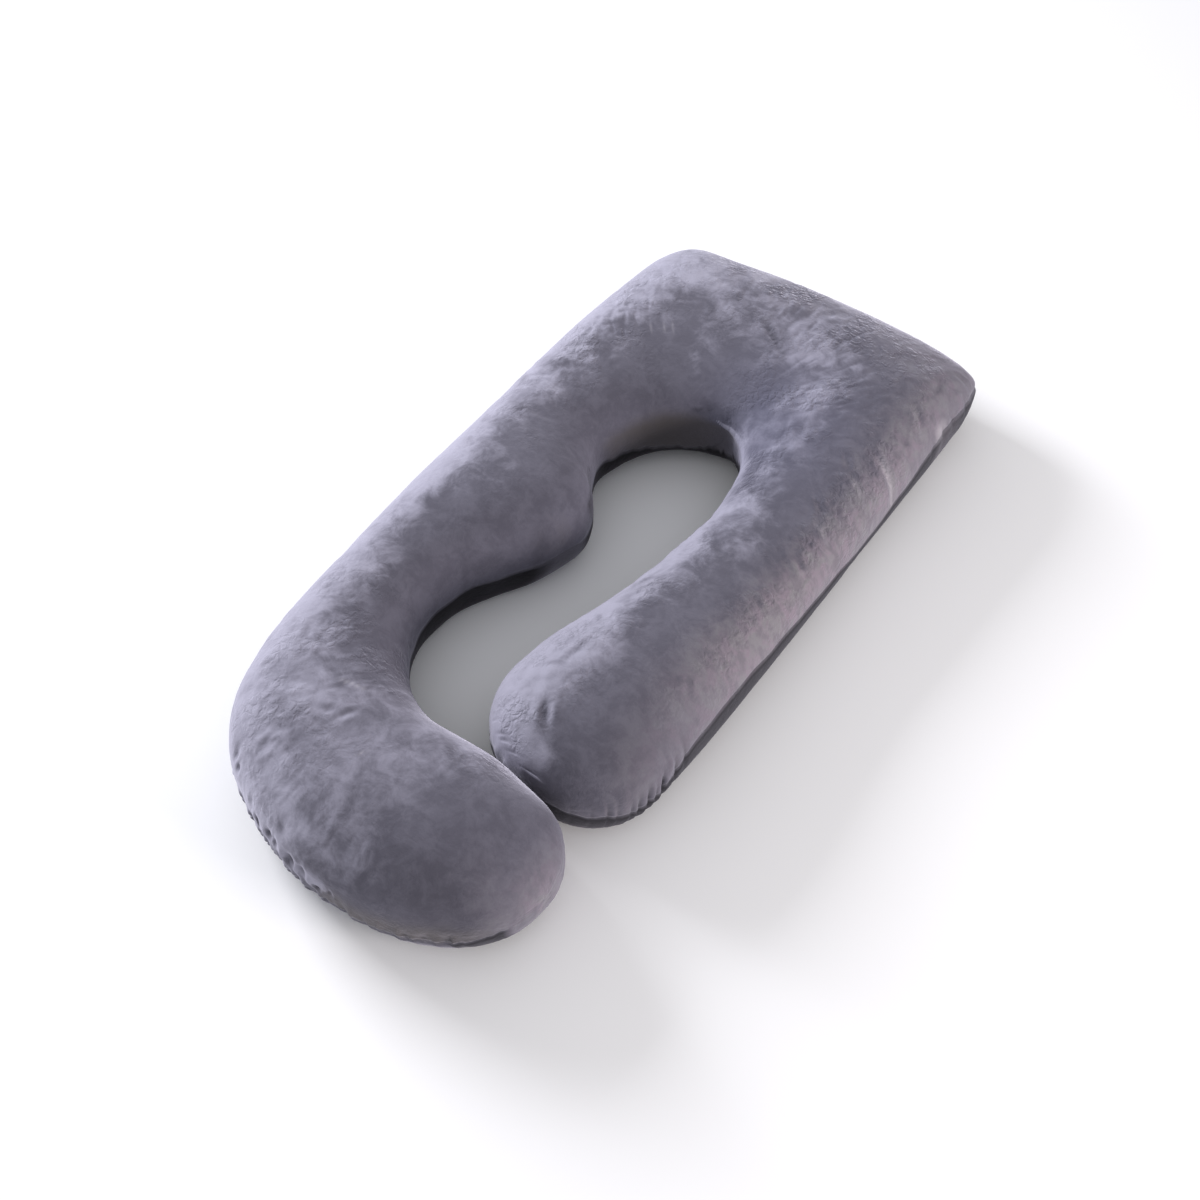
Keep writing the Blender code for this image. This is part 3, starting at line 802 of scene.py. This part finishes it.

# spots of painted light (painted shade where negative): x, y, reach x, reach y, how much light is painted there
paintedLight = [
    (0.04, 0.58, 0.1, 0.09, 0.35),
    (0.16, 0.44, 0.06, 0.09, 0.32),
    (-0.22, 0.6, 0.09, 0.09, 0.4),
    (-0.23, 0.45, 0.05, 0.07, 0.22),
    (0.06, 0.375, 0.03, 0.025, -0.25),
    (-0.2, 0.09, 0.045, 0.045, -0.32),
    (-0.3, -0.06, 0.04, 0.07, 0.3),
    (0.13, 0.225, 0.025, 0.05, -0.6),
    (0.125, 0.285, 0.02, 0.04, -0.45),
    (0.098, 0.31, 0.02, 0.02, -0.35),
    (0.18, 0.34, 0.025, 0.05, 0.18),
    (0.123, 0.515, 0.04, 0.04, 0.2),
    (-0.002, 0.615, 0.035, 0.035, -0.28),
    (0.215, 0.13, 0.04, 0.09, 0.28),
    (0.115, -0.05, 0.025, 0.03, -0.4),
    (0.235, -0.14, 0.05, 0.05, -0.14),
    (0.165, -0.48, 0.06, 0.018, -0.35),
    (-0.07, -0.68, 0.17, 0.06, 0.35),  # hook
    (-0.15, -0.55, 0.07, 0.05, 0.3),
    (-0.02, -0.58, 0.08, 0.05, 0.26),
    (-0.08, -0.485, 0.05, 0.03, 0.38),
    (-0.26, -0.47, 0.08, 0.1, 0.28),
    (0.00, -0.735, 0.1, 0.03, 0.45),
    (0.12, -0.715, 0.05, 0.03, 0.28),
    (0.06, -0.55, 0.05, 0.03, 0.14),
    (-0.235, -0.395, 0.03, 0.03, -0.2),
    (-0.272, 0.05, 0.025, 0.03, 0.18),
    (-0.19, -0.62, 0.05, 0.04, 0.2),
    (0.158, -0.2, 0.028, 0.06, 0.18),
    (-0.25, -0.33, 0.05, 0.08, 0.2),
    (-0.25, 0.24, 0.05, 0.1, 0.2),
    (0.13, -0.33, 0.05, 0.12, 0.36),  # bulb
    (0.18, -0.418, 0.05, 0.022, 0.45),
    (0.2, -0.4, 0.035, 0.03, 0.25),
    (0.25, -0.38, 0.07, 0.06, -0.25),
    (-0.17, 0.4, 0.08, 0.1, -0.15),
    (0.25, 0.63, 0.08, 0.1, -0.32),
    (0.3, 0.55, 0.05, 0.1, -0.18),
    (0.2, 0.7, 0.1, 0.04, -0.28),
    (-0.02, 0.69, 0.06, 0.03, -0.24),
    (-0.1, 0.55, 0.04, 0.04, 0.16),
    (-0.172, 0.522, 0.025, 0.022, -0.16),
    (-0.11, 0.465, 0.012, 0.04, 0.2),
    (-0.088, 0.416, 0.013, 0.018, 0.34),
    (-0.066, 0.39, 0.013, 0.013, 0.36),
    (-0.045, 0.372, 0.012, 0.01, 0.34),
    (-0.224, 0.35, 0.04, 0.04, 0.22),
]
# spots of painted shade: x, y, reach x, reach y, how much darker the cloth is painted there
shaded = [
    (-0.1, 0.37, 0.08, 0.07, 0.14),
    (-0.092, 0.305, 0.035, 0.035, 0.1),
    (-0.083, -0.06, 0.015, 0.018, 0.26),
    (0.25, -0.7, 0.1, 0.05, 0.34),
    (0.3, -0.36, 0.045, 0.08, 0.2),
    (0.24, 0.715, 0.08, 0.03, 0.22),
    (-0.02, 0.7, 0.06, 0.025, 0.16),
]
# single strokes of painted highlight, painted crease shade where negative: x, y, direction in degrees, length,
# half width, how much lighter, darker where negative
strokes = [
    (0.33, 0.4, 165, 0.07, 0.004, 0.55),
    (0.31, 0.415, 150, 0.05, 0.0035, 0.3),
    (0.3, 0.33, 150, 0.045, 0.0035, 0.3),
    (0.305, 0.21, 160, 0.045, 0.0035, 0.25),
    (0.342, 0.572, 90, 0.045, 0.006, 0.45),
    (-0.118, -0.496, 12, 0.06, 0.0022, 0.35),
    (-0.02, -0.589, 50, 0.022, 0.0016, 0.3),
    (0.009, -0.643, 50, 0.024, 0.0018, -0.3),
    (0.009, 0.529, -35, 0.125, 0.003, -0.55),
    (-0.024, 0.346, 25, 0.05, 0.002, -0.45),
    (-0.172, 0.44, 130, 0.03, 0.0018, 0.22),
    (-0.16, 0.45, 130, 0.035, 0.0018, 0.2),
    (-0.192, 0.426, 130, 0.03, 0.0018, 0.18),
]


def strokeLight(x, y, stroke):
    length, width, amount = stroke[3:]
    a, b = lineThrough(x, y, stroke[:3])
    return amount * np.clip(1 - (2 * a / length) ** 2, 0, 1) * np.exp(-((b / width) ** 2))


# painted light: highlights on raised puckers, along the neck's fold and the hook's rim, and the painted light
# spots
paintedLightSum = marks["puckerLight"] * raised + marks["foldLight"] * onFold
for row in paintedLight:
    paintedLightSum += row[4] * spot(x, y, *row[:4])
fromRim = toOuter - run(hookOuter, "rimUp")
paintedLightSum += np.exp(-((fromRim / marks["rimReach"]) ** 2)) * run(hookOuter, "rim")
shade = np.zeros(x.shape)
for row in shaded:
    shade += row[4] * spot(x, y, *row[:4])
addNumber(cover, "even", calmness(x, y, 4))
addNumber(cover, "blue", spot(x, y, 0.11, 0.36, 0.13, 0.16))
# painted shade under the hook's tip and under the straight end
shade += 0.5 * np.exp(-((toOuter / 0.006) ** 2)) * run(hookOuter, "underTip")
shade += 0.35 * (onOuter & ~isTop) * run(straightOuter, "underEnd")
# painted shade in the gathers' furrows
shade += np.clip(furrowShade, 0, 0.6)
# painted shade in the crevice between the hook and the straight end, and along the bump's edge
onStraight = (np.arange(len(x)) < len(x) // 2)[:, None] & (z > 0.06)
shade += 0.45 * onStraight * ramp(y, -0.434, -0.008) * ramp(x, 0.26, -0.02)
shade += 0.8 * isTop * ramp(toInner, 0.057, -0.008) * run(hookInner, "bumpEdge")
stroked = sum(strokeLight(x, y, stroke) for stroke in strokes)
addNumber(cover, "shade", np.clip(shade - stroked, 0, 1))
addNumber(cover, "light", np.clip(stroked, 0, 1))
addNumber(cover, "paintedLight", paintedLightSum)
print("cover made:", len(cover.data.polygons), "faces")

velvet = {
    "paintedShadeSide": (0.094, 0.09, 0.116, 1.0),  # painted shade: the sides that face away from the cool lamp
    "paintedLitSide": (0.325, 0.315, 0.39, 1.0),  # painted light: the sides that face the cool lamp at -x
    # painted warm light on the sides facing the warm lamp, greyer in places, with painted crease shade
    "warm": (0.238, 0.198, 0.234, 1.0),
    "warmGrey": (0.218, 0.206, 0.22, 1.0),
    "warmShade": (0.178, 0.16, 0.182, 1.0),
    "bluer": (0.15, 0.155, 0.245, 1.0),
    # painted highlight colour of the light strokes
    "paintedHighlight": (0.46, 0.44, 0.47, 1.0),
    "away": (0.082, 0.073, 0.07, 1.0),  # painted shade on the sides of the gap that turn from the light, and along the edge under the hook
    "lower": (0.028, 0.027, 0.032, 1.0),  # painted shade on the lower panel
    "lowerInside": (0.008, 0.007, 0.008, 1.0),  # darker painted shade on the lower panel, round the gap
    # the darkest painted shade: at the seam's groove, in folds and in shaded spots
    "seam": (0.02, 0.019, 0.024, 1.0),
    "roughness": 0.95,
    "specular": 0.15,
    "sheen": 0.45,
    "sheenRoughness": 0.4,
    "sheenTint": (0.88, 0.86, 1.0, 1.0),
    "paintedLightFrom": 0.0,  # how far a side has to turn towards the cool lamp before it is painted lit
    "paintedLightTo": 0.65,
    "ragged": 0.46,  # how uneven the edge of the painted light is
    "mottle": 0.12,
    "mixed": (0.5, 0.42, 0.08),  # clouds, brush strokes and flecks in that unevenness
    "blueShare": 0.3,  # how strongly these colours lie over the others
    "tuckedShare": 0.85,
    "seamShare": 0.7,
    "cloudScale": 6.0,
    "brushScale": 24.0,
    "fleckScale": 80.0,
    "streakScale": 60.0,  # painted shade of creases that run up the side
    "streakStretch": (1.0, 1.0, 4.5),
    "patchScale": 11.0,  # where the pile is crushed
    "pileScale": 900.0,
    "netScale": 62.0,  # the net of little folds in the crushed pile
    "netWavering": 70.0,
    "netStray": 0.022,
    "bumps": [(0.42, 0.006), (0.34, 0.003), (0.22, 0.0006)],  # strength and height: net, flecks, single fibres
}


def velvetMaterial():
    material = bpy.data.materials.new("velvet")
    material.use_nodes = True
    nodes, links = material.node_tree.nodes, material.node_tree.links
    shader = nodes["Principled BSDF"]
    shader.inputs["Roughness"].default_value = velvet["roughness"]
    shader.inputs["Specular IOR Level"].default_value = velvet["specular"]
    shader.inputs["Sheen Roughness"].default_value = velvet["sheenRoughness"]
    shader.inputs["Sheen Tint"].default_value = velvet["sheenTint"]
    place = nodes.new("ShaderNodeTexCoord")
    here = place.outputs["Object"]

    def connect(socket, value):
        if isinstance(value, bpy.types.NodeSocket):
            links.new(value, socket)
        else:
            socket.default_value = value

    def noise(scale, detail, roughness, distortion=0.0, stretch=None):
        made = nodes.new("ShaderNodeTexNoise")
        settings = {"Scale": scale, "Detail": detail, "Roughness": roughness, "Distortion": distortion}
        for name, value in settings.items():
            made.inputs[name].default_value = value
        source = here
        if stretch:
            mapping = nodes.new("ShaderNodeMapping")
            mapping.vector_type = "TEXTURE"
            mapping.inputs["Scale"].default_value = stretch
            links.new(here, mapping.inputs["Vector"])
            source = mapping.outputs["Vector"]
        links.new(source, made.inputs["Vector"])
        return made.outputs["Fac"]

    def between(value, low, high, smooth=True):
        made = nodes.new("ShaderNodeMapRange")
        made.interpolation_type = "SMOOTHSTEP" if smooth else "LINEAR"
        connect(made.inputs["Value"], value)
        made.inputs["From Min"].default_value = low
        made.inputs["From Max"].default_value = high
        return made.outputs["Result"]

    def sums(operation, a, b):
        made = nodes.new("ShaderNodeMath")
        made.operation = operation
        connect(made.inputs[0], a)
        connect(made.inputs[1], b)
        return made.outputs["Value"]

    def plus(a, b):
        return sums("ADD", a, b)

    def times(a, b):
        return sums("MULTIPLY", a, b)

    def blend(factor, a, b):
        made = nodes.new("ShaderNodeMix")
        made.data_type = "RGBA"
        connect(made.inputs["Factor"], factor)
        connect(made.inputs[6], a)
        connect(made.inputs[7], b)
        return made.outputs[2]

    def mark(name):
        made = nodes.new("ShaderNodeAttribute")
        made.attribute_name = name
        return made.outputs["Fac"]

    facing = nodes.new("ShaderNodeSeparateXYZ")
    links.new(place.outputs["Normal"], facing.inputs["Vector"])

    # the sides facing -x, towards the cool lamp, are painted lit, with a ragged edge
    cloud = noise(velvet["cloudScale"], 4, 0.6)
    brush = noise(velvet["brushScale"], 4, 0.68, distortion=0.5)
    fleck = noise(velvet["fleckScale"], 4, 0.7, distortion=0.3)
    clouds, strokes, flecks = velvet["mixed"]
    uneven = plus(times(cloud, clouds), plus(times(brush, strokes), times(fleck, flecks)))
    ragged = times(sums("SUBTRACT", 1.0, times(mark("even"), 0.45)), velvet["ragged"] * 4)
    uneven = times(sums("SUBTRACT", uneven, 0.5), ragged)
    facingCoolLamp = sums("SUBTRACT", times(facing.outputs["Y"], 0.25), facing.outputs["X"])
    towards = plus(plus(mark("paintedLight"), facingCoolLamp), uneven)
    paintedLitShare = between(towards, velvet["paintedLightFrom"], velvet["paintedLightTo"])
    mottle = between(plus(times(brush, 0.75), times(fleck, 0.25)), 0.38, 0.62)
    paintedLitShare = plus(times(paintedLitShare, 1 - velvet["mottle"]), times(mottle, velvet["mottle"]))
    colour = blend(paintedLitShare, velvet["paintedShadeSide"], velvet["paintedLitSide"])
    # the sides facing +x are painted in the warm lamp's pinkish light, with streaks of painted crease shade
    turned = plus(plus(facing.outputs["X"], times(facing.outputs["Y"], 0.7)), uneven)
    warmSide = between(turned, 0.0, 0.7)
    # painted shade on the gap's sides and the hook's lower edge
    gapSide = between(plus(mark("gap"), times(uneven, 0.5)), 0.15, 1.0)
    colour = blend(gapSide, colour, velvet["away"])
    warm = blend(between(brush, 0.42, 0.58), velvet["warm"], velvet["warmGrey"])
    streak = noise(velvet["streakScale"], 3, 0.6, stretch=velvet["streakStretch"])
    warm = blend(between(streak, 0.58, 0.36), warm, velvet["warmShade"])
    colour = blend(times(warmSide, mark("outer")), colour, warm)
    # painted highlights in thin strokes
    colour = blend(mark("light"), colour, velvet["paintedHighlight"])
    colour = blend(times(mark("blue"), velvet["blueShare"]), colour, velvet["bluer"])
    # painted shade on the lower panel, darkest round the gap
    colour = blend(between(mark("lower"), 0.1, 0.9, smooth=False), colour,
                   blend(mark("inside"), velvet["lower"], velvet["lowerInside"]))
    # painted shade: shaded spots, drawn-in folds and the seam's groove
    colour = blend(mark("shade"), colour, velvet["seam"])
    colour = blend(times(mark("foldShade"), velvet["tuckedShare"]), colour, velvet["seam"])
    colour = blend(times(mark("seam"), velvet["seamShare"]), colour, velvet["seam"])
    links.new(colour, shader.inputs["Base Color"])
    # less sheen on the lower panel, least of all round the gap, deepens its painted shade
    dull = times(mark("lower"), plus(times(mark("inside"), 0.2), 0.5))
    links.new(times(sums("SUBTRACT", 1.0, dull), velvet["sheen"]), shader.inputs["Sheen Weight"])

    # crushed pile: a net of little folds, broken up into patches
    wavering = noise(velvet["netWavering"], 3, 0.5).node
    strayed = nodes.new("ShaderNodeVectorMath")
    strayed.operation = "MULTIPLY_ADD"
    links.new(wavering.outputs["Color"], strayed.inputs[0])
    strayed.inputs[1].default_value = (velvet["netStray"],) * 3
    links.new(here, strayed.inputs[2])
    net = nodes.new("ShaderNodeTexVoronoi")
    net.feature = "DISTANCE_TO_EDGE"
    net.inputs["Scale"].default_value = velvet["netScale"]
    links.new(strayed.outputs["Vector"], net.inputs["Vector"])
    folds = between(net.outputs["Distance"], 0.0, 0.3)
    patchy = between(noise(velvet["patchScale"], 3, 0.6), 0.44, 0.6)
    crumpled = times(plus(folds, times(fleck, 0.8)), times(patchy, plus(mark("patch"), 0.1)))
    normal = None
    fibres = noise(velvet["pileScale"], 1, 0.5)
    for height, (strength, distance) in zip((crumpled, fleck, fibres), velvet["bumps"]):
        bump = nodes.new("ShaderNodeBump")
        bump.inputs["Strength"].default_value = strength
        bump.inputs["Distance"].default_value = distance
        links.new(height, bump.inputs["Height"])
        if normal:
            links.new(normal, bump.inputs["Normal"])
        normal = bump.outputs["Normal"]
    links.new(normal, shader.inputs["Normal"])
    return material


cover.data.materials.append(velvetMaterial())
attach(cover, "root")
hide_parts("pillow")
print("velvet on")

room = {
    "floorSize": 16.0,
    "floorColour": (0.9, 0.9, 0.91, 1.0),
    "floorRoughness": 0.9,
    "air": (0.96, 0.97, 1.0, 1.0),
    "airStrength": 0.6,
    # name, place, aim, width, height, watts, colour
    "lamps": [
        ("coolLamp", (-4.3, 0.4, 2.0), (0.0, 0.0, 0.1), 2.0, 1.6, 290.0, (0.955, 0.96, 1.0)),
        ("warmLamp", (4.4, 0.2, 1.2), (0.1, 0.0, 0.1), 1.8, 1.0, 155.0, (1.0, 0.92, 0.9)),
    ],
}


half = room["floorSize"] / 2
corners = np.array([[-half, -half, 0], [half, -half, 0], [half, half, 0], [-half, half, 0]])
floor = smoothMesh("paleFloor", corners, [(0, 1, 2, 3)])
paint = bpy.data.materials.new("paleFloor")
paint.use_nodes = True
shader = paint.node_tree.nodes["Principled BSDF"]
shader.inputs["Base Color"].default_value = room["floorColour"]
shader.inputs["Roughness"].default_value = room["floorRoughness"]
floor.data.materials.append(paint)

for name, placed, aim, width, height, watts, colour in room["lamps"]:
    light = bpy.data.lights.new(name, "AREA")
    light.shape = "RECTANGLE"
    light.size = width
    light.size_y = height
    light.energy = watts
    light.color = colour
    lamp = bpy.data.objects.new(name, light)
    lamp.location = placed
    lamp.rotation_euler = (Vector(placed) - Vector(aim)).to_track_quat("Z", "Y").to_euler()
    scene.collection.objects.link(lamp)

world = bpy.data.worlds.new("air")
world.use_nodes = True
sky = world.node_tree.nodes["Background"]
sky.inputs["Color"].default_value = room["air"]
sky.inputs["Strength"].default_value = room["airStrength"]
scene.world = world
scene.view_settings.view_transform = "Standard"

view = {
    "azimuth": 35.484,
    "elevation": 52.93,
    "distance": 2.833,
    "aim": (0.0558, -0.0767, 0.09),
    "lens": 50.53,
    "sensor": 36,
}
azimuth, elevation = math.radians(view["azimuth"]), math.radians(view["elevation"])
back = Vector((
    math.sin(azimuth) * math.cos(elevation), -math.cos(azimuth) * math.cos(elevation), math.sin(elevation)))
lens = bpy.data.cameras.new("camera")
lens.lens = view["lens"]
lens.sensor_width = view["sensor"]
camera = bpy.data.objects.new("camera", lens)
camera.location = Vector(view["aim"]) + back * view["distance"]
camera.rotation_euler = back.to_track_quat("Z", "Y").to_euler()
scene.collection.objects.link(camera)
scene.camera = camera
print("floor, light and camera in place")
